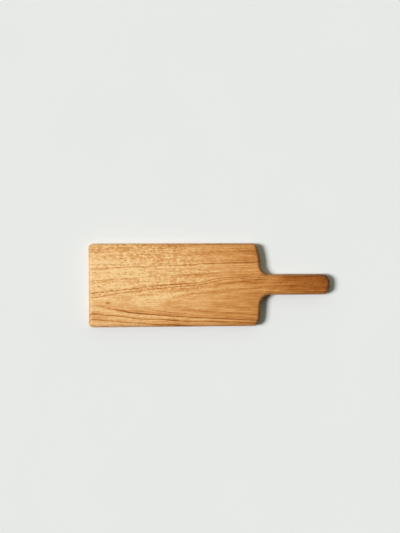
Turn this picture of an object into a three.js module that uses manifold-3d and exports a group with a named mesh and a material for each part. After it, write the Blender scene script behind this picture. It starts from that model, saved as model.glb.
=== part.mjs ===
// Paddle-shaped cheese board, edge-glued from three staves ripped from one plank.
// Millimetres, +Z up. The board lies on Z = 0 with its handle towards +X, and
// the origin is under the middle of its outline.

import * as THREE from "three";
import { mergeVertices } from "three/addons/utils/BufferGeometryUtils.js";
import Module from "manifold-3d";

const wasm = await Module();
wasm.setup();

// Outline, seen from above
const BODY_LENGTH = 271.5; // far end to the outer corners of the shoulders
const BODY_WIDTH = 135;
const HANDLE_LENGTH = 121; // outer corners of the shoulders to the handle's tip
const HANDLE_WIDTH = 33.5;
const CORNER_RADIUS = 7.5; // corners of the far end and of the shoulders
const NECK_RADIUS = 16.5; // hollow fillet from a shoulder into the handle
const TIP_RADIUS = 13; // corners of the handle's tip

// Each shoulder leans towards the handle, more at its outer corner than beside the
// handle. The rear one was bowed in a long sweep, the front one more shortly.
const SHOULDER_INNER_RAKE = 4; // degrees of lean beside the handle
const REAR_SHOULDER_RAKE = 15.5; // degrees of lean at the outer corner
const REAR_BOW_DEPTH = 22; // where the two leans meet, in from the long edge
const REAR_BOW_RADIUS = 90; // the curve that joins them
const FRONT_SHOULDER_RAKE = 29;
const FRONT_BOW_DEPTH = 10;
const FRONT_BOW_RADIUS = 12;

// Section
const THICKNESS = 15;
const EDGE_RADIUS = 7; // rounding of the top and bottom edges, nearly to a half-round
const LEAST_SIDE_WALL = 1; // flat that the rounding always leaves on the side

// Edge joints
const HANDLE_STAVE_WIDTH = 68; // the middle stave, which runs on into the handle
const GLUE_FILM = 0.25; // cured glue between two staves

// Fineness of the curves
const CORNER_STEPS = 6;
const NECK_STEPS = 10;
const EDGE_STEPS = 6;
const LEAST_RADIUS = 0.2; // keeps a corner's points apart where a rounded edge uses it up

const OVERALL_LENGTH = BODY_LENGTH + HANDLE_LENGTH;

const OILED_WOOD = { roughness: 0.5, metalness: 0 };
const handleStaveWood = new THREE.MeshStandardMaterial({ ...OILED_WOOD, color: 0xd39a5c });
const rearStaveWood = new THREE.MeshStandardMaterial({ ...OILED_WOOD, color: 0xd7a066 });
const frontStaveWood = new THREE.MeshStandardMaterial({ ...OILED_WOOD, color: 0xcf9354 });
const curedGlue = new THREE.MeshStandardMaterial({ color: 0xb58046, roughness: 0.4, metalness: 0 });

// One straight side of the outline: a point on it, and its direction with the wood on
// its left.
function side(x, y, degrees) {
  const angle = THREE.MathUtils.degToRad(degrees);
  return {
    point: new THREE.Vector2(x, y),
    along: new THREE.Vector2(Math.cos(angle), Math.sin(angle)),
  };
}

// Where a shoulder's two leans meet, as X from the far end.
function bowX(rake, depth) {
  return BODY_LENGTH + depth * Math.tan(THREE.MathUtils.degToRad(rake));
}

// The outline's sides, anticlockwise from the far end. X runs from the far end here.
function outlineSides() {
  const halfBody = BODY_WIDTH / 2;
  const halfHandle = HANDLE_WIDTH / 2;
  const frontBowX = bowX(FRONT_SHOULDER_RAKE, FRONT_BOW_DEPTH);
  const rearBowX = bowX(REAR_SHOULDER_RAKE, REAR_BOW_DEPTH);
  return [
    side(0, 0, -90),
    side(0, -halfBody, 0),
    side(BODY_LENGTH, -halfBody, 90 - FRONT_SHOULDER_RAKE),
    side(frontBowX, FRONT_BOW_DEPTH - halfBody, 90 - SHOULDER_INNER_RAKE),
    side(OVERALL_LENGTH, -halfHandle, 0),
    side(OVERALL_LENGTH, 0, 90),
    side(OVERALL_LENGTH, halfHandle, 180),
    side(rearBowX, halfBody - REAR_BOW_DEPTH, 90 + SHOULDER_INNER_RAKE),
    side(BODY_LENGTH, halfBody, 90 + REAR_SHOULDER_RAKE),
    side(0, halfBody, 180),
  ];
}

// The corner after each of those sides.
const CORNERS = [
  { radius: CORNER_RADIUS, steps: CORNER_STEPS },
  { radius: CORNER_RADIUS, steps: CORNER_STEPS },
  { radius: FRONT_BOW_RADIUS, steps: CORNER_STEPS },
  { radius: NECK_RADIUS, steps: NECK_STEPS },
  { radius: TIP_RADIUS, steps: NECK_STEPS },
  { radius: TIP_RADIUS, steps: NECK_STEPS },
  { radius: NECK_RADIUS, steps: NECK_STEPS },
  { radius: REAR_BOW_RADIUS, steps: CORNER_STEPS },
  { radius: CORNER_RADIUS, steps: CORNER_STEPS },
  { radius: CORNER_RADIUS, steps: CORNER_STEPS },
];

// Where two sides meet once both are moved into the wood by the inset.
function meet(a, b, inset) {
  const pointA = a.point.clone().add(new THREE.Vector2(-a.along.y, a.along.x).multiplyScalar(inset));
  const pointB = b.point.clone().add(new THREE.Vector2(-b.along.y, b.along.x).multiplyScalar(inset));
  const reach = pointB.sub(pointA).cross(b.along) / a.along.cross(b.along);
  return pointA.add(a.along.clone().multiplyScalar(reach));
}

// One loop of points round the board, where its edges have turned from flat
// (0 degrees) to upright (90 degrees). It is measured up from the face that it starts at.
// The rounding never uses up more than half of the board's thickness. Two corners that
// want more than the side between them share its length.
function edgeLoop(sides, degrees) {
  const turn = THREE.MathUtils.degToRad(degrees);
  const edgeRadius = Math.min(EDGE_RADIUS, (THICKNESS - LEAST_SIDE_WALL) / 2);
  const inset = edgeRadius * (1 - Math.sin(turn));
  const rise = edgeRadius * (1 - Math.cos(turn));
  const next = (i) => (i + 1) % sides.length;
  const corners = sides.map((s, i) => meet(s, sides[next(i)], inset));
  const bends = sides.map((s, i) => {
    const after = sides[next(i)].along;
    return Math.atan2(s.along.cross(after), s.along.dot(after));
  });
  const wanted = bends.map((bend, i) => {
    const radius = Math.max(CORNERS[i].radius - Math.sign(bend) * inset, LEAST_RADIUS);
    return radius * Math.tan(Math.abs(bend) / 2);
  });
  const shares = corners.map((corner, i) => {
    const length = corner.distanceTo(corners.at(i - 1));
    return Math.min(1, length / (wanted.at(i - 1) + wanted[i]));
  });

  return corners.flatMap((corner, i) => {
    const along = sides[i].along;
    const tangent = wanted[i] * Math.min(shares[i], shares[next(i)]);
    const start = corner.clone().sub(along.clone().multiplyScalar(tangent));
    const spoke = tangent / Math.tan(bends[i] / 2);
    const centre = start.clone().add(new THREE.Vector2(-along.y, along.x).multiplyScalar(spoke));
    return Array.from({ length: CORNERS[i].steps + 1 }, (_, k) => {
      const point = start.clone().rotateAround(centre, (bends[i] * k) / CORNERS[i].steps);
      return new THREE.Vector3(point.x, point.y, rise);
    });
  });
}

// The whole board as it leaves the shaping: outline, thickness and rounded edges.
function shapedBoard() {
  const sides = outlineSides();
  const turns = Array.from({ length: EDGE_STEPS + 1 }, (_, k) => (90 * k) / EDGE_STEPS);
  const lower = turns.map((degrees) => edgeLoop(sides, degrees));
  const upper = turns.map((degrees) => edgeLoop(sides, degrees));
  upper.flat().forEach((p) => (p.z = THICKNESS - p.z));
  const loops = [...lower, ...upper.reverse()];
  const count = loops[0].length;

  const walls = loops.slice(1).flatMap((_, k) =>
    Array.from({ length: count }, (_, j) => {
      const a = k * count + j;
      const b = k * count + ((j + 1) % count);
      return [a, b, b + count, a, b + count, a + count];
    }),
  );
  const face = THREE.ShapeUtils.triangulateShape(loops[0].map((p) => new THREE.Vector2(p.x, p.y)), []);
  const topStart = (loops.length - 1) * count;
  const bottom = face.map(([a, b, c]) => [a, c, b]);
  const top = face.map((triangle) => triangle.map((corner) => corner + topStart));

  const geometry = new THREE.BufferGeometry().setFromPoints(loops.flat());
  geometry.setIndex([...walls, ...bottom, ...top].flat());
  return solidOf(geometry);
}

function solidOf(geometry) {
  return new wasm.Manifold(
    new wasm.Mesh({
      numProp: 3,
      vertProperties: geometry.getAttribute("position").array,
      triVerts: new Uint32Array(geometry.index.array),
    }),
  );
}

// A box that takes in all of the board between two heights of Y.
function slab(fromY, toY) {
  const geometry = new THREE.BoxGeometry(2 * OVERALL_LENGTH, toY - fromY, 2 * THICKNESS);
  geometry.translate(OVERALL_LENGTH / 2, (fromY + toY) / 2, THICKNESS / 2);
  geometry.deleteAttribute("normal");
  geometry.deleteAttribute("uv");
  return solidOf(mergeVertices(geometry));
}

function geometryOf(solid) {
  const mesh = solid.getMesh();
  const geometry = new THREE.BufferGeometry();
  geometry.setAttribute("position", new THREE.BufferAttribute(mesh.vertProperties, mesh.numProp));
  geometry.setIndex(new THREE.BufferAttribute(mesh.triVerts, 1));
  geometry.computeVertexNormals();
  return geometry;
}

// The board is glued up square and shaped afterwards, so each piece is the strip of
// the shaped board between its own joints.
const board = shapedBoard();
const joint = HANDLE_STAVE_WIDTH / 2;
const wing = joint + GLUE_FILM;

const STRIPS = [
  { name: "handle_stave", fromY: -joint, toY: joint, material: handleStaveWood },
  { name: "rear_stave", fromY: wing, toY: BODY_WIDTH, material: rearStaveWood },
  { name: "front_stave", fromY: -BODY_WIDTH, toY: -wing, material: frontStaveWood },
  { name: "rear_glue_line", fromY: joint, toY: wing, material: curedGlue },
  { name: "front_glue_line", fromY: -wing, toY: -joint, material: curedGlue },
];

const cheeseBoard = new THREE.Group();
cheeseBoard.name = "cheese_board";
for (const { name, fromY, toY, material } of STRIPS) {
  const piece = new THREE.Mesh(geometryOf(board.intersect(slab(fromY, toY))), material);
  piece.name = name;
  piece.position.x = -OVERALL_LENGTH / 2;
  cheeseBoard.add(piece);
}

export default cheeseBoard;
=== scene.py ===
"""A paddle-shaped wooden cheese board, edge-glued from three staves, on a pale studio floor."""

import math

import bpy
from bpy.props import FloatProperty, FloatVectorProperty, PointerProperty
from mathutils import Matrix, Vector


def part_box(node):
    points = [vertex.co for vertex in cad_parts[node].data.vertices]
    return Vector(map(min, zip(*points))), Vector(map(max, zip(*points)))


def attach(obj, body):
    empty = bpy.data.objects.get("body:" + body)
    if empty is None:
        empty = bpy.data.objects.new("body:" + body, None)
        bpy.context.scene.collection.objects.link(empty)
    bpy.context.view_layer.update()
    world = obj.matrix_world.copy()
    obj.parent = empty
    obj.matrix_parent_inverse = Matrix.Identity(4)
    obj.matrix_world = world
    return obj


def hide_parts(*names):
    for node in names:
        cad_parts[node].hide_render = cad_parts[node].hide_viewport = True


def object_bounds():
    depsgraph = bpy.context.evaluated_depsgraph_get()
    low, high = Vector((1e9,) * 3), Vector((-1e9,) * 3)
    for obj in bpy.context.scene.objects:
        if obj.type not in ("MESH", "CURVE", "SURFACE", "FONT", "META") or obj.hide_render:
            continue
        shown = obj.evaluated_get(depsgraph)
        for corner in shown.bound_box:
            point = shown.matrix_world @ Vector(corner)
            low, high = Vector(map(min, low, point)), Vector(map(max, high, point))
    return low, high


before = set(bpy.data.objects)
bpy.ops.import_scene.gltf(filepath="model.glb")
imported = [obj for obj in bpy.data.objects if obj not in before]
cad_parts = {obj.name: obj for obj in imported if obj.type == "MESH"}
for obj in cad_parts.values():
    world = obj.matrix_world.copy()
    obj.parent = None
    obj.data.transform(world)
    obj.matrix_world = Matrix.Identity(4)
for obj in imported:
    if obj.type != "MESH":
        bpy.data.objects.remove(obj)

bl_info = {
    "name": "Cheese Board",
    "version": (1, 0, 0),
    "blender": (4, 5, 0),
    "location": "View3D > Sidebar > Cheese Board",
    "description": "Models an edge-glued wooden cheese board and the studio that it lies in",
    "category": "Object",
}

BODY = "root"
MM = 0.001
SNAP = 0.01 * MM  # points closer than this are the same point
CAD_LOW, CAD_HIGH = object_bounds()

# Fineness of the curves
CORNER_STEPS = 8
NECK_STEPS = 16
EDGE_STEPS = 10
SMOOTH_ANGLE = math.radians(35)
FLAT_ENOUGH = math.radians(0.5)  # faces that bend less than this are one face
SQUARE_ENOUGH = math.radians(60)  # edges that bend more than this are rounded


def linear(hex_colour):
    """An sRGB hex colour such as "#C68A50" as linear RGBA."""
    shares = [int(hex_colour[i : i + 2], 16) / 255 for i in (1, 3, 5)]
    return [s / 12.92 if s <= 0.04045 else ((s + 0.055) / 1.055) ** 2.4 for s in shares] + [1.0]


def distance(name, millimetres, description):
    """A length that the user can change."""
    return FloatProperty(
        name=name,
        description=description,
        default=millimetres * MM,
        precision=4,
        subtype="DISTANCE",
        unit="LENGTH",
    )


def angle(name, degrees, description):
    """An angle that the user can change."""
    return FloatProperty(
        name=name,
        description=description,
        default=math.radians(degrees),
        subtype="ANGLE",
        unit="ROTATION",
    )


def colour(name, hex_colour, description):
    """A colour that the user can change."""
    return FloatVectorProperty(
        name=name,
        description=description,
        default=linear(hex_colour),
        size=4,
        min=0,
        max=1,
        subtype="COLOR",
    )


def amount(name, default, description, **kind):
    """A number that the user can change."""
    return FloatProperty(name=name, description=description, default=default, min=0, **kind)


class CHEESEBOARD_PG_sizes(bpy.types.PropertyGroup):
    """Sizes of the outline and the edges. Length, width and thickness come from the frame."""

    body_length: distance("Body length", 271.5, "Far end to the outer corners of the shoulders")
    handle_width: distance("Handle width", 33.5, "Width of the straight handle")
    corner_radius: distance("Corners", 7.5, "Radius of the corners of the far end and the shoulders")
    neck_radius: distance("Neck", 16.5, "Hollow radius from a shoulder into the handle")
    tip_radius: distance("Tip", 13, "Radius of the corners at the handle's tip")
    inner_rake: angle("Inner rake", 4, "Lean of both shoulders beside the handle")
    rear_rake: angle("Rear rake", 15.5, "Lean of the rear shoulder at its outer corner")
    rear_bow_depth: distance("Rear bow depth", 22, "Where its leans meet, in from the rear edge")
    rear_bow_radius: distance("Rear bow", 90, "Radius of the curve that joins those leans")
    front_rake: angle("Front rake", 29, "Lean of the front shoulder at its outer corner")
    front_bow_depth: distance("Front bow depth", 10, "Where its leans meet, in from the front edge")
    front_bow_radius: distance("Front bow", 12, "Radius of the curve that joins those leans")
    edge_radius: distance("Edges", 7, "Rounding of the top and bottom edges")


class CHEESEBOARD_PG_colours(bpy.types.PropertyGroup):
    """Colours of the wood, the glue, the floor and the surround."""

    # At the far end the palest wood also stands in for painted sheen from the key light.
    palest_wood: colour("Palest wood", "#F7CE94", "Early wood at the far end")
    golden_wood: colour("Golden wood", "#E0A667", "Wood in the middle of the body")
    brown_wood: colour("Brown wood", "#C58444", "Wood at the shoulders, and darker streaks")
    deep_wood: colour("Deep wood", "#9E5B1E", "Wood of the handle, darkened by hands and oil")
    darkest_wood: colour("Darkest wood", "#6E3410", "Late wood lines and pores in the handle")
    glue: colour("Glue", "#B58046", "Cured glue in the joints")
    floor: colour("Floor", "#EBECEE", "Pale painted floor")
    surround: colour("Surround", "#E8E9E6", "Pale surround that the camera and reflections see")
    ambient: colour("Ambient", "#F4FBDB", "Slightly yellow light that the surround sends back")


CAMERA_SIZE = {"subtype": "DISTANCE_CAMERA", "unit": "CAMERA"}


class CHEESEBOARD_PG_studio(bpy.types.PropertyGroup):
    """Light and camera."""

    key_strength: amount("Key light", 4.06, "Strength of the light from the far end")
    key_elevation: angle("Key height", 39, "Height of the key light above the floor")
    key_width: angle("Key width", 20, "How wide the key light looks from the board")
    front_ambient: amount("Front ambient", 0.0, "Light that the surround sends back from the front")
    rear_ambient: amount("Rear ambient", 0.62, "Light that the surround sends back from the rear")
    camera_along: distance("Camera along", -39.75, "Place of the camera along the board")
    camera_across: distance("Camera across", 35.8, "Place of the camera across the board")
    camera_height: distance("Camera height", 658.8, "Height of the camera above the floor")
    camera_pitch: angle("Camera pitch", -0.506, "Turn of the camera about the board's length")
    camera_roll: angle("Camera roll", -2.013, "Turn of the camera about the board's width")
    camera_turn: angle("Camera turn", -0.22, "Turn of the camera about the upright")
    lens: amount("Lens", 26, "Focal length", **CAMERA_SIZE)
    sensor: amount("Sensor", 34.6, "Long side of the sensor", **CAMERA_SIZE)


def select(piece, kind, wanted):
    """In edit mode, select only the EDGEs or FACEs whose points pass the test."""
    bpy.ops.object.mode_set(mode="EDIT")
    bpy.ops.mesh.select_mode(type=kind)
    bpy.ops.mesh.select_all(action="DESELECT")
    bpy.ops.object.mode_set(mode="OBJECT")
    mesh = piece.data
    for part in {"EDGE": mesh.edges, "FACE": mesh.polygons}[kind]:
        part.select = wanted([mesh.vertices[i].co for i in part.vertices])
    bpy.ops.object.mode_set(mode="EDIT")


def upright(place):
    """Test for the upright edge that stands over a place in the plan."""
    return lambda points: all((p.xy - place).length < SNAP for p in points)


def apply_modifier(piece, kind, **settings):
    """Add a modifier to the active piece and apply it."""
    modifier = piece.modifiers.new(kind.lower(), kind)
    for name, value in settings.items():
        setattr(modifier, name, value)
    bpy.ops.object.modifier_apply(modifier=modifier.name)


def shoulder(sizes, side):
    """Outer corner, bow and neck of the rear (1) or front (-1) shoulder, in the plan."""
    rake, depth = sizes.front_rake, sizes.front_bow_depth
    if side > 0:
        rake, depth = sizes.rear_rake, sizes.rear_bow_depth
    corner = Vector((CAD_LOW.x + sizes.body_length, CAD_HIGH.y if side > 0 else CAD_LOW.y))
    bow = corner + Vector((depth * math.tan(rake), -side * depth))
    drop = abs(bow.y) - sizes.handle_width / 2
    neck = bow + Vector((drop * math.tan(sizes.inner_rake), -side * drop))
    return corner, bow, neck


def square_blank(sizes):
    """The board sawn to its outline, with square corners and edges. It is left in edit mode."""
    corner_x = CAD_LOW.x + sizes.body_length
    low, high = CAD_LOW.copy(), Vector((corner_x, CAD_HIGH.y, CAD_HIGH.z))
    bpy.ops.object.select_all(action="DESELECT")
    bpy.ops.mesh.primitive_cube_add(size=1, location=(low + high) / 2, scale=high - low)
    bpy.ops.object.transform_apply(location=True, rotation=True, scale=True)
    blank = bpy.context.active_object

    bends = [point for side in (1, -1) for point in shoulder(sizes, side)[1:]]
    bpy.ops.object.mode_set(mode="EDIT")
    for point in bends:
        bpy.ops.mesh.select_all(action="SELECT")
        bpy.ops.mesh.bisect(plane_co=(0, point.y, 0), plane_no=(0, 1, 0))
    for point in bends:
        select(blank, "EDGE", upright(Vector((corner_x, point.y))))
        bpy.ops.transform.translate(value=(point.x - corner_x, 0, 0))

    half_handle = sizes.handle_width / 2

    def at_handle(points):
        return all(p.x > corner_x + SNAP and abs(p.y) < half_handle + SNAP for p in points)

    select(blank, "FACE", at_handle)
    reach = CAD_HIGH.x - max(point.x for point in bends)
    bpy.ops.mesh.extrude_region_move(TRANSFORM_OT_translate={"value": (reach, 0, 0)})
    bpy.ops.transform.resize(value=(0, 1, 1), center_override=(CAD_HIGH.x, 0, 0))
    bpy.ops.mesh.select_all(action="SELECT")
    bpy.ops.mesh.dissolve_limited(angle_limit=FLAT_ENOUGH)
    return blank


def outline(sizes):
    """Corners of the outline in order, each as its place, radius and number of steps."""
    rear_corner, rear_bow, rear_neck = shoulder(sizes, 1)
    front_corner, front_bow, front_neck = shoulder(sizes, -1)
    return [
        (CAD_LOW.xy, sizes.corner_radius, CORNER_STEPS),
        (front_corner, sizes.corner_radius, CORNER_STEPS),
        (front_bow, sizes.front_bow_radius, CORNER_STEPS),
        (front_neck, sizes.neck_radius, NECK_STEPS),
        (Vector((CAD_HIGH.x, front_neck.y)), sizes.tip_radius, NECK_STEPS),
        (Vector((CAD_HIGH.x, rear_neck.y)), sizes.tip_radius, NECK_STEPS),
        (rear_neck, sizes.neck_radius, NECK_STEPS),
        (rear_bow, sizes.rear_bow_radius, CORNER_STEPS),
        (rear_corner, sizes.corner_radius, CORNER_STEPS),
        (Vector((CAD_LOW.x, CAD_HIGH.y)), sizes.corner_radius, CORNER_STEPS),
    ]


def shaped_board(sizes):
    """The whole board as it leaves the sander: outline, rounded corners and rounded edges."""
    board = square_blank(sizes)
    corners = outline(sizes)
    for i, (place, radius, steps) in enumerate(corners):
        before = corners[i - 1][0]
        after = corners[(i + 1) % len(corners)][0]
        bend = (place - before).angle(after - place)
        select(board, "EDGE", upright(place))
        bpy.ops.mesh.bevel(
            offset=radius * math.tan(bend / 2), segments=steps, profile=0.5, clamp_overlap=False
        )
    bpy.ops.object.mode_set(mode="OBJECT")

    apply_modifier(
        board,
        "BEVEL",
        width=sizes.edge_radius,
        segments=EDGE_STEPS,
        limit_method="ANGLE",
        angle_limit=SQUARE_ENOUGH,
        use_clamp_overlap=False,
    )
    return board


def strip(board, name, node, material):
    """A copy of the shaped board, ripped down to the strip that a CAD node holds, in its place."""
    bpy.ops.object.select_all(action="DESELECT")
    board.select_set(True)
    bpy.context.view_layer.objects.active = board
    bpy.ops.object.duplicate()
    piece = bpy.context.active_object
    piece.name = piece.data.name = name

    low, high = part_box(node)
    bpy.ops.object.mode_set(mode="EDIT")
    for joint_y, waste in ((low.y, "clear_inner"), (high.y, "clear_outer")):
        if CAD_LOW.y + SNAP < joint_y < CAD_HIGH.y - SNAP:
            bpy.ops.mesh.select_all(action="SELECT")
            bpy.ops.mesh.bisect(
                plane_co=(0, joint_y, 0), plane_no=(0, 1, 0), use_fill=True, **{waste: True}
            )
    bpy.ops.mesh.select_all(action="SELECT")
    bpy.ops.mesh.normals_make_consistent(inside=False)
    bpy.ops.object.mode_set(mode="OBJECT")
    bpy.ops.object.shade_smooth_by_angle(angle=SMOOTH_ANGLE)
    apply_modifier(piece, "WEIGHTED_NORMAL", keep_sharp=True)

    piece.data.materials.clear()
    piece.data.materials.append(material)
    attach(piece, BODY)
    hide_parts(node)
    return piece


def add(tree, kind, settings=None, inputs=None):
    """Add a node with its settings. An input is a value, or the socket or node that feeds it."""
    node = tree.nodes.new(kind)
    for name, value in (settings or {}).items():
        setattr(node, name, value)
    for socket, value in (inputs or {}).items():
        if isinstance(value, bpy.types.Node):
            value = next(output for output in value.outputs if output.enabled)
        if isinstance(value, bpy.types.NodeSocket):
            tree.links.new(value, node.inputs[socket])
        else:
            node.inputs[socket].default_value = value
    return node


def set_stops(ramp, stops):
    """Give a colour ramp node its stops, each a position and a grey level or a colour."""
    elements = ramp.color_ramp.elements
    while len(elements) < len(stops):
        elements.new(1.0)
    for element, (position, level) in zip(elements, stops):
        element.position = position
        element.color = level if hasattr(level, "__len__") else (level, level, level, 1.0)


def new_material(name):
    """A named material with an empty node tree."""
    material = bpy.data.materials.new(name)
    material.use_nodes = True
    material.node_tree.nodes.clear()
    return material


SMOOTHLY = {"interpolation_type": "SMOOTHSTEP"}
UNCLAMPED = {"clamp": False}
SOFT = 1.0  # detail of a noise with soft marks
CRISP = 3.0  # detail of a noise with crisp marks

# The plank was flat-sawn beside the heart of its log, which runs below it and comes nearer
# towards the handle. Millimetres, in the frame.
HEART_ACROSS = -27.5  # where the heart lies across the board, under its middle
HEART_SLANT = 0.0075  # how that moves along the board
HEART_HEIGHT = -15.0  # height of the heart, under the middle of the board
HEART_CLIMB = 0.0585  # how that grows along the board
RING_RANGE = (14.0, 120.0)  # radii of the rings that the board cuts
WANDER_SIZE = (75.0, 17.0)  # length and width of the waves in the rings
WANDER = 1.8  # how far the rings wander

# Behind the heart and near the handle, the rings swell to the rear: how far, and the spans
# along the board and off the heart where the swell rises to full and falls to none.
SWELL = 4.5
SWELL_ALONG = [(-30.0, 30.0), (35.0, 100.0)]
SWELL_OFF_HEART = [(20.0, 36.0), (38.0, 60.0)]

# Rings that end in a dark line of late wood, in front of the heart and behind it: radius, how
# dark, and how thick the line is. The early wood of the next ring starts pale and browns slowly.
FRONT_RINGS = [
    (37.2, 0.3, 0.8),
    (40.0, 0.9, 0.9),
    (43.8, 0.5, 1.4),
    (48.6, 0.5, 1.2),
]
REAR_RINGS = [
    (41.8, 0.7, 1.0),
    (44.4, 0.85, 0.9),
    (55.1, 0.45, 1.0),
    (69.1, 0.5, 1.1),
    (84.0, 0.25, 1.4),
]
RING_TONE = 0.06  # tone of the wood before a dark line
FINE_RING_SIZE = 2.5  # usual width of the faint rings between those
FINE_RING_TONE = 0.26
OVER_HEART = (6.0, 15.0)  # off the heart, where the rings grow from faint to full
OVER_HEART_SHARE = 0.3
STRAIGHT_GRAIN = (50.0, 110.0)  # along the board, where the rings fade into straight grain
STRAIGHT_SHARE = 0.3

# How dark the wood is along the board and across it: share of the way, and tone. Along the board,
# the far end's paleness and the body's fall towards golden are partly painted sheen from the key
# light; the handle's darkening is the wood's own, and the last rise at the tip is painted shade on
# its rounded end.
TONE_AND_PAINTED_LIGHT_ALONG = [
    (0.0, 0.0),
    (0.22, 0.03),
    (0.48, 0.22),
    (0.61, 0.35),
    (0.77, 0.52),
    (0.84, 0.66),
    (0.96, 0.74),
    (1.0, 0.88),
]
TONE_ACROSS = [
    (0.0, 0.2),
    (0.14, 0.18),
    (0.36, 0.05),
    (0.74, 0.0),
    (0.8, 0.03),
    (0.87, 0.15),
    (1.0, 0.22),
]
EVEN_ACROSS = (-120.0, 60.0)  # along the board, where the tone across it evens out
EVEN_SHARE = 0.4
HANDLE_TONE = 0.085  # how much darker the handle is at its rear, and paler at its front
HANDLE_START = (95.0, 125.0)  # along the board, where that grows to full

# Marks along the grain: their length and width in millimetres, and how far each swings the tone.
STREAK_SIZE = (160.0, 7.0)
STREAK_TONE = 0.22
STREAK_SEED = 5.0  # which streaks this plank has
FIBRE_SIZE = (40.0, 1.5)  # bundles of fibres, since one fibre is too fine to show
FIBRE_TONE = 0.34
MOTTLE_SIZE = (16.0, 12.0)
MOTTLE_TONE = 0.1

# Pores are about 0.3 mm wide, and drawn some four times as wide so that they show.
PORE_SPACING = (11.0, 2.2)
PORE_EDGE = (0.1, 0.32)  # where a pore is full and where it ends, as shares of the spacing
PORE_TONE = 0.14

# Curly flecks show most at the far end, and least in front of the heart.
FLECK_SIZE = (5.0, 2.4)
FLECK_CURL = 0.8
FLECK_TONE = 0.62
FLECKS_ALONG = (-80.0, 40.0)  # along the board, where they grow faint
FLECKS_HANDLE_SHARE = 0.25
FLECKS_ACROSS = (-28.0, 0.0)  # across the board, where they grow to full
FLECKS_FRONT_SHARE = 0.35

# A pin knot beside the heart, at the far end.
PIN_KNOT_PLACE = (-165.0, -28.0)
PIN_KNOT_SIZE = (6.5, 2.8)
PIN_KNOT_TONE = 0.6

# Where the rounded edges cut across the fibres, oil soaks in deeper and the wood looks darker. The
# same darkening also paints shade: across the grain it darkens the long edges as they turn from the
# light, and from the shoulders on it is stronger, as painted shade on the edges that face away from
# the key light.
EDGE_LEAN = (1.0, 0.3, 0.0)  # how much a lean along and across the grain counts; across the grain the darkening is painted shade
FULL_LEAN = 0.5  # lean at which the edge is darkest
FAR_END_LIGHTNESS = 0.65  # how much of its lightness such an edge keeps at the far end
SHADED_SHOULDER_LIGHTNESS = 0.55  # and from the shoulders on, where painted shade is added

FIBRE_RELIEF = 0.12 * MM
FIBRE_RELIEF_STRENGTH = 0.35
PORE_ROUGHNESS = 0.58
FIBRE_ROUGHNESS = 0.44
OIL_IOR = 1.47
OIL_SPECULAR = 0.25


def marks(tree, kind, size, settings=None, **inputs):
    """A texture whose marks have this length and width along the grain, in millimetres."""
    length, width = size
    place = add(tree, "ShaderNodeTexCoord").outputs["Object"]
    stretched = add(tree, "ShaderNodeMapping", {"vector_type": "TEXTURE"}, {
        "Vector": place, "Scale": (length * MM, width * MM, width * MM)})
    return add(tree, kind, settings, {"Vector": stretched, "Scale": 1.0, **inputs})


def fade(tree, tone, value, span, first, last):
    """The tone, times a share that goes smoothly from first to last over a span of the value."""
    start, end = span
    share = add(tree, "ShaderNodeMapRange", SMOOTHLY, {
        "Value": value, "From Min": start, "From Max": end, "To Min": first, "To Max": last})
    return add(tree, "ShaderNodeMath", {"operation": "MULTIPLY"}, {0: tone, 1: share})


def tone_over(tree, place, start, end, stops):
    """Tone that changes between two places, in millimetres, by stops at shares of the way."""
    share = add(tree, "ShaderNodeMapRange", None, {
        "Value": place, "From Min": start, "From Max": end})
    tone = add(tree, "ShaderNodeValToRGB", None, {0: share})
    set_stops(tone, stops)
    return tone


def late_wood(tree, radius, rings):
    """Tone of the dark lines that end the rings."""
    start, end = RING_RANGE
    stops = []
    for middle, darkness, thickness in rings:
        stops += [
            (middle - thickness / 2, RING_TONE),
            (middle, RING_TONE + darkness),
            (middle + thickness / 2, 0.0),
        ]
    shares = [((place - start) / (end - start), tone) for place, tone in stops]
    return tone_over(tree, radius, start, end, shares)


def ring_swell(tree, x, off_heart):
    """How far the rings swell to the rear."""
    swell = SWELL
    for value, (rise, fall) in ((x, SWELL_ALONG), (off_heart, SWELL_OFF_HEART)):
        swell = fade(tree, swell, value, rise, 0.0, 1.0)
        swell = fade(tree, swell, value, fall, 1.0, 0.0)
    return swell


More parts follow.
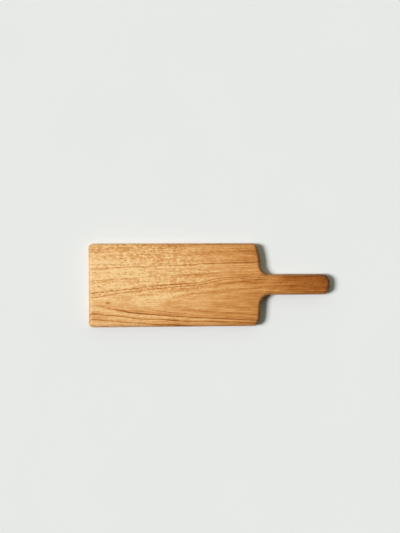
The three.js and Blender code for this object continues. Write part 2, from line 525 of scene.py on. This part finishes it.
def growth_rings(tree, place, x, y):
    """Tone of the rings, faint over the heart and fading into straight grain in the handle."""
    heart_y = add(tree, "ShaderNodeMath", {"operation": "MULTIPLY_ADD"}, {
        0: x, 1: HEART_SLANT, 2: HEART_ACROSS})
    heart_z = add(tree, "ShaderNodeMath", {"operation": "MULTIPLY_ADD"}, {
        0: x, 1: HEART_CLIMB, 2: HEART_HEIGHT})
    heart = add(tree, "ShaderNodeCombineXYZ", None, {"X": x, "Y": heart_y, "Z": heart_z})
    radius = add(tree, "ShaderNodeVectorMath", {"operation": "DISTANCE"}, {0: place, 1: heart})
    wander = marks(tree, "ShaderNodeTexNoise", WANDER_SIZE)
    wander = add(tree, "ShaderNodeMapRange", UNCLAMPED, {
        "Value": wander, "To Min": -WANDER, "To Max": WANDER})
    radius = add(tree, "ShaderNodeMath", {"operation": "ADD"}, {0: radius, 1: wander})
    off_heart = add(tree, "ShaderNodeMath", {"operation": "SUBTRACT"}, {0: y, 1: heart_y})
    radius = add(tree, "ShaderNodeMath", {"operation": "SUBTRACT"}, {
        0: radius, 1: ring_swell(tree, x, off_heart)})

    behind = add(tree, "ShaderNodeMath", {"operation": "GREATER_THAN"}, {0: off_heart, 1: 0.0})
    lines = add(tree, "ShaderNodeMix", None, {
        "Factor": behind,
        "A": late_wood(tree, radius, FRONT_RINGS),
        "B": late_wood(tree, radius, REAR_RINGS),
    })
    fine_rings = add(tree, "ShaderNodeTexNoise", {"noise_dimensions": "1D"}, {
        "W": radius, "Scale": 1 / FINE_RING_SIZE, "Detail": CRISP})
    fine_rings = add(tree, "ShaderNodeMapRange", UNCLAMPED, {
        "Value": fine_rings, "To Min": -FINE_RING_TONE, "To Max": FINE_RING_TONE})
    rings = add(tree, "ShaderNodeMath", {"operation": "ADD"}, {0: fine_rings, 1: lines})

    off_heart = add(tree, "ShaderNodeMath", {"operation": "ABSOLUTE"}, {0: off_heart})
    rings = fade(tree, rings, off_heart, OVER_HEART, OVER_HEART_SHARE, 1.0)
    return fade(tree, rings, x, STRAIGHT_GRAIN, 1.0, STRAIGHT_SHARE)


def curly_flecks(tree, x, y):
    """Tone of the flecks."""
    flecks = marks(tree, "ShaderNodeTexNoise", FLECK_SIZE, Detail=SOFT, Distortion=FLECK_CURL)
    flecks = add(tree, "ShaderNodeMapRange", UNCLAMPED, {
        "Value": flecks, "To Min": -FLECK_TONE, "To Max": FLECK_TONE})
    flecks = fade(tree, flecks, x, FLECKS_ALONG, 1.0, FLECKS_HANDLE_SHARE)
    return fade(tree, flecks, y, FLECKS_ACROSS, FLECKS_FRONT_SHARE, 1.0)


def handle_tone(tree, x, y, sizes):
    """Tone that darkens the handle towards its rear."""
    half_width = sizes.handle_width / 2 / MM
    tone = add(tree, "ShaderNodeMapRange", None, {
        "Value": y,
        "From Min": -half_width,
        "From Max": half_width,
        "To Min": -HANDLE_TONE,
        "To Max": HANDLE_TONE,
    })
    return fade(tree, tone, x, HANDLE_START, 0.0, 1.0)


def pin_knot(tree, place):
    """Tone of the pin knot."""
    length, width = PIN_KNOT_SIZE
    from_knot = add(tree, "ShaderNodeMapping", {"vector_type": "TEXTURE"}, {
        "Vector": place,
        "Location": (*PIN_KNOT_PLACE, CAD_HIGH.z / MM),
        "Scale": (length, width, length),
    })
    from_knot = add(tree, "ShaderNodeVectorMath", {"operation": "LENGTH"}, {0: from_knot})
    return add(tree, "ShaderNodeMapRange", SMOOTHLY, {
        "Value": from_knot, "To Min": PIN_KNOT_TONE, "To Max": 0.0})


def end_grain_and_painted_edge_shade(tree, wood, x, sizes):
    """The wood's colour, darkened where the surface leans off the grain: partly oiled end grain,
    partly painted shade on edges that turn from the light, strongest from the shoulders on.
    """
    kept = add(tree, "ShaderNodeMapRange", None, {
        "Value": x,
        "From Min": CAD_LOW.x / MM,
        "From Max": (CAD_LOW.x + sizes.body_length) / MM,
        "To Min": FAR_END_LIGHTNESS,
        "To Max": SHADED_SHOULDER_LIGHTNESS,
    })
    facing = add(tree, "ShaderNodeNewGeometry").outputs["Normal"]
    lean = add(tree, "ShaderNodeVectorMath", {"operation": "MULTIPLY"}, {0: facing, 1: EDGE_LEAN})
    lean = add(tree, "ShaderNodeVectorMath", {"operation": "LENGTH"}, {0: lean})
    lightness = add(tree, "ShaderNodeMapRange", SMOOTHLY, {
        "Value": lean, "From Max": FULL_LEAN, "To Min": 1.0, "To Max": kept})
    return add(tree, "ShaderNodeHueSaturation", None, {"Color": wood, "Value": lightness})


def oiled_hardwood(colours, sizes):
    """Flat-sawn open-pored hardwood, planed, sanded and oiled.

    The eye sees an arch of growth rings that opens towards the handle, fine straight fibres,
    short dark pores along them, and a soft satin sheen.
    """
    material = new_material("oiled_hardwood")
    tree = material.node_tree
    place = add(tree, "ShaderNodeTexCoord").outputs["Object"]
    place = add(tree, "ShaderNodeVectorMath", {"operation": "SCALE"}, {0: place, "Scale": 1 / MM})
    x, y, _ = add(tree, "ShaderNodeSeparateXYZ", None, {0: place}).outputs

    seeded = {"noise_dimensions": "4D"}
    streak = marks(tree, "ShaderNodeTexNoise", STREAK_SIZE, seeded, W=STREAK_SEED)
    fibre = marks(tree, "ShaderNodeTexNoise", FIBRE_SIZE, Detail=CRISP)
    mottle = marks(tree, "ShaderNodeTexNoise", MOTTLE_SIZE, Detail=SOFT)
    full, end = PORE_EDGE
    pore = add(tree, "ShaderNodeMapRange", None, {
        "Value": marks(tree, "ShaderNodeTexVoronoi", PORE_SPACING),
        "From Min": full,
        "From Max": end,
        "To Min": 1.0,
        "To Max": 0.0,
    })

    # One tone, from the palest wood to the darkest, adds up all that marks the wood, with painted
    # sheen and shade along the board
    low, high = CAD_LOW / MM, CAD_HIGH / MM
    across = tone_over(tree, y, low.y, high.y, TONE_ACROSS)
    parts = [
        fade(tree, across, x, EVEN_ACROSS, 1.0, EVEN_SHARE),
        handle_tone(tree, x, y, sizes),
        growth_rings(tree, place, x, y),
        curly_flecks(tree, x, y),
        pin_knot(tree, place),
    ]
    for mark, lowest, highest in (
        (streak, -STREAK_TONE, STREAK_TONE),
        (fibre, -FIBRE_TONE, FIBRE_TONE),
        (mottle, -MOTTLE_TONE, MOTTLE_TONE),
        (pore, 0.0, PORE_TONE),
    ):
        parts.append(add(tree, "ShaderNodeMapRange", UNCLAMPED, {
            "Value": mark, "To Min": lowest, "To Max": highest}))
    tone = tone_over(tree, x, low.x, high.x, TONE_AND_PAINTED_LIGHT_ALONG)
    for part in parts:
        tone = add(tree, "ShaderNodeMath", {"operation": "ADD"}, {0: tone, 1: part})
    shades = [
        colours.palest_wood,
        colours.golden_wood,
        colours.brown_wood,
        colours.deep_wood,
        colours.darkest_wood,
    ]
    wood = add(tree, "ShaderNodeValToRGB", None, {0: tone})
    set_stops(wood, [(i / (len(shades) - 1), shade) for i, shade in enumerate(shades)])

    # Pores and fibres are just felt, and oil lies duller in them
    relief = add(tree, "ShaderNodeMath", {"operation": "SUBTRACT"}, {0: fibre, 1: pore})
    bump = add(tree, "ShaderNodeBump", None, {
        "Strength": FIBRE_RELIEF_STRENGTH, "Distance": FIBRE_RELIEF, "Height": relief})
    dullness = add(tree, "ShaderNodeMapRange", None, {
        "Value": relief, "From Min": -1.0, "To Min": PORE_ROUGHNESS, "To Max": FIBRE_ROUGHNESS})
    shader = add(tree, "ShaderNodeBsdfPrincipled", None, {
        "Base Color": end_grain_and_painted_edge_shade(tree, wood, x, sizes),
        "Roughness": dullness,
        "IOR": OIL_IOR,
        "Specular IOR Level": OIL_SPECULAR,
        "Normal": bump,
    })
    add(tree, "ShaderNodeOutputMaterial", None, {"Surface": shader})
    return material


def mottled(tree, plain, size, darkest):
    """The plain colour, darkened here and there in marks of this size."""
    level = add(tree, "ShaderNodeMapRange", None, {
        "Value": marks(tree, "ShaderNodeTexNoise", size), "To Min": darkest, "To Max": 1.0})
    return add(tree, "ShaderNodeHueSaturation", None, {"Color": plain, "Value": level})


GLUE_LUMP_SIZE = (6.0, 2.0)
GLUE_DARKEST = 0.7
GLUE_ROUGHNESS = 0.4
GLUE_IOR = 1.46


def cured_glue(colours):
    """Cured wood glue, scraped and sanded flush: a thin brown line with a faint dull mottle."""
    material = new_material("cured_wood_glue")
    tree = material.node_tree
    shader = add(tree, "ShaderNodeBsdfPrincipled", None, {
        "Base Color": mottled(tree, colours.glue, GLUE_LUMP_SIZE, GLUE_DARKEST),
        "Roughness": GLUE_ROUGHNESS,
        "IOR": GLUE_IOR,
    })
    add(tree, "ShaderNodeOutputMaterial", None, {"Surface": shader})
    return material


PAINT_CLOUD_SIZE = (180.0, 180.0)
PAINT_DARKEST = 0.97
PAINT_ROUGHNESS = 0.8
PAINT_IOR = 1.45
PAINT_SPECULAR = 0.2


def painted_floor(colours):
    """Smooth board under matt paint: pale and even, with a very faint cloudiness."""
    material = new_material("matt_painted_floor")
    tree = material.node_tree
    shader = add(tree, "ShaderNodeBsdfPrincipled", None, {
        "Base Color": mottled(tree, colours.floor, PAINT_CLOUD_SIZE, PAINT_DARKEST),
        "Roughness": PAINT_ROUGHNESS,
        "IOR": PAINT_IOR,
        "Specular IOR Level": PAINT_SPECULAR,
    })
    add(tree, "ShaderNodeOutputMaterial", None, {"Surface": shader})
    return material


class CHEESEBOARD_OT_staves(bpy.types.Operator):
    """Model the three staves: the middle one with the handle, and one on each side of it"""

    bl_idname = "cheese_board.staves"
    bl_label = "Staves"

    def execute(self, context):
        scene = context.scene
        board = shaped_board(scene.cheese_board_sizes)
        wood = oiled_hardwood(scene.cheese_board_colours, scene.cheese_board_sizes)
        for name in ("handle_stave", "rear_stave", "front_stave"):
            strip(board, f"{name}_wood", name, wood)
        bpy.data.objects.remove(board)
        return {"FINISHED"}


class CHEESEBOARD_OT_glue_lines(bpy.types.Operator):
    """Model the two films of cured glue between the staves"""

    bl_idname = "cheese_board.glue_lines"
    bl_label = "Glue lines"

    def execute(self, context):
        scene = context.scene
        board = shaped_board(scene.cheese_board_sizes)
        glue = cured_glue(scene.cheese_board_colours)
        for name in ("rear_glue_line", "front_glue_line"):
            strip(board, f"{name}_film", name, glue)
        bpy.data.objects.remove(board)
        return {"FINISHED"}


FLOOR_SIZE = 12.0  # metres, far past the edges of the picture
FLOOR_GAP = 0.1 * MM  # keeps the floor just clear of the board
LAMP_HEIGHT = 1.0  # metres, where the key light's symbol stands
AMBIENT_TURN = (-0.1, 0.8)  # lean to the rear over which the ambient light grows to full


def pale_surround(studio, colours):
    """World that looks plain and pale, and sends back a soft yellowish light from the rear."""
    world = bpy.data.worlds.new("pale_surround")
    world.use_nodes = True
    tree = world.node_tree
    tree.nodes.clear()
    towards = add(tree, "ShaderNodeTexCoord").outputs["Generated"]
    towards = add(tree, "ShaderNodeSeparateXYZ", None, {0: towards})
    front, rear = AMBIENT_TURN
    level = add(tree, "ShaderNodeMapRange", SMOOTHLY, {
        "Value": towards.outputs["Y"],
        "From Min": front,
        "From Max": rear,
        "To Min": studio.front_ambient,
        "To Max": studio.rear_ambient,
    })
    ambient = add(tree, "ShaderNodeBackground", None, {"Color": colours.ambient, "Strength": level})
    backdrop = add(tree, "ShaderNodeBackground", None, {"Color": colours.surround, "Strength": 1.0})

    rays = add(tree, "ShaderNodeLightPath").outputs
    seen = rays["Is Camera Ray"]
    for ray in ("Is Glossy Ray", "Is Transmission Ray"):
        seen = add(tree, "ShaderNodeMath", {"operation": "MAXIMUM"}, {0: seen, 1: rays[ray]})
    surround = add(tree, "ShaderNodeMixShader", None, {0: seen, 1: ambient, 2: backdrop})
    add(tree, "ShaderNodeOutputWorld", None, {"Surface": surround})
    return world


class CHEESEBOARD_OT_studio(bpy.types.Operator):
    """Lay the pale floor, set the lights and the surround, and place the camera"""

    bl_idname = "cheese_board.studio"
    bl_label = "Studio"

    def execute(self, context):
        scene = context.scene
        studio, colours = scene.cheese_board_studio, scene.cheese_board_colours

        bpy.ops.object.select_all(action="DESELECT")
        bpy.ops.mesh.primitive_plane_add(size=FLOOR_SIZE, location=(0, 0, CAD_LOW.z - FLOOR_GAP))
        floor = context.active_object
        floor.name = "studio_floor"
        floor.data.materials.append(painted_floor(colours))

        lean = studio.key_elevation - math.pi / 2
        bpy.ops.object.light_add(type="SUN", location=(0, 0, LAMP_HEIGHT), rotation=(0, lean, 0))
        key = context.active_object
        key.name = "key_light"
        key.data.energy = studio.key_strength
        key.data.angle = studio.key_width
        scene.world = pale_surround(studio, colours)

        bpy.ops.object.camera_add(
            location=(studio.camera_along, studio.camera_across, studio.camera_height),
            rotation=(studio.camera_pitch, studio.camera_roll, studio.camera_turn),
        )
        camera = context.active_object
        camera.name = "camera"
        camera.data.lens = studio.lens
        camera.data.sensor_width = studio.sensor
        scene.camera = camera
        scene.view_settings.view_transform = "Standard"
        return {"FINISHED"}


class CHEESEBOARD_PT_panel(bpy.types.Panel):
    """Sizes, colours and studio of the cheese board, with a button for each step"""

    bl_idname = "CHEESEBOARD_PT_panel"
    bl_label = "Cheese Board"
    bl_space_type = "VIEW_3D"
    bl_region_type = "UI"
    bl_category = "Cheese Board"

    def draw(self, context):
        scene = context.scene
        for operator, settings in (
            ("cheese_board.staves", scene.cheese_board_sizes),
            ("cheese_board.glue_lines", scene.cheese_board_colours),
            ("cheese_board.studio", scene.cheese_board_studio),
        ):
            box = self.layout.box()
            for name in settings.__annotations__:
                box.prop(settings, name)
            box.operator(operator)


CLASSES = (
    CHEESEBOARD_PG_sizes,
    CHEESEBOARD_PG_colours,
    CHEESEBOARD_PG_studio,
    CHEESEBOARD_OT_staves,
    CHEESEBOARD_OT_glue_lines,
    CHEESEBOARD_OT_studio,
    CHEESEBOARD_PT_panel,
)


def register():
    for cls in CLASSES:
        bpy.utils.register_class(cls)
    bpy.types.Scene.cheese_board_sizes = PointerProperty(type=CHEESEBOARD_PG_sizes)
    bpy.types.Scene.cheese_board_colours = PointerProperty(type=CHEESEBOARD_PG_colours)
    bpy.types.Scene.cheese_board_studio = PointerProperty(type=CHEESEBOARD_PG_studio)


def unregister():
    del bpy.types.Scene.cheese_board_studio
    del bpy.types.Scene.cheese_board_colours
    del bpy.types.Scene.cheese_board_sizes
    for cls in reversed(CLASSES):
        bpy.utils.unregister_class(cls)


def main():
    register()
    bpy.ops.cheese_board.studio()
    bpy.ops.cheese_board.staves()
    bpy.ops.cheese_board.glue_lines()


if __name__ == "__main__":
    main()
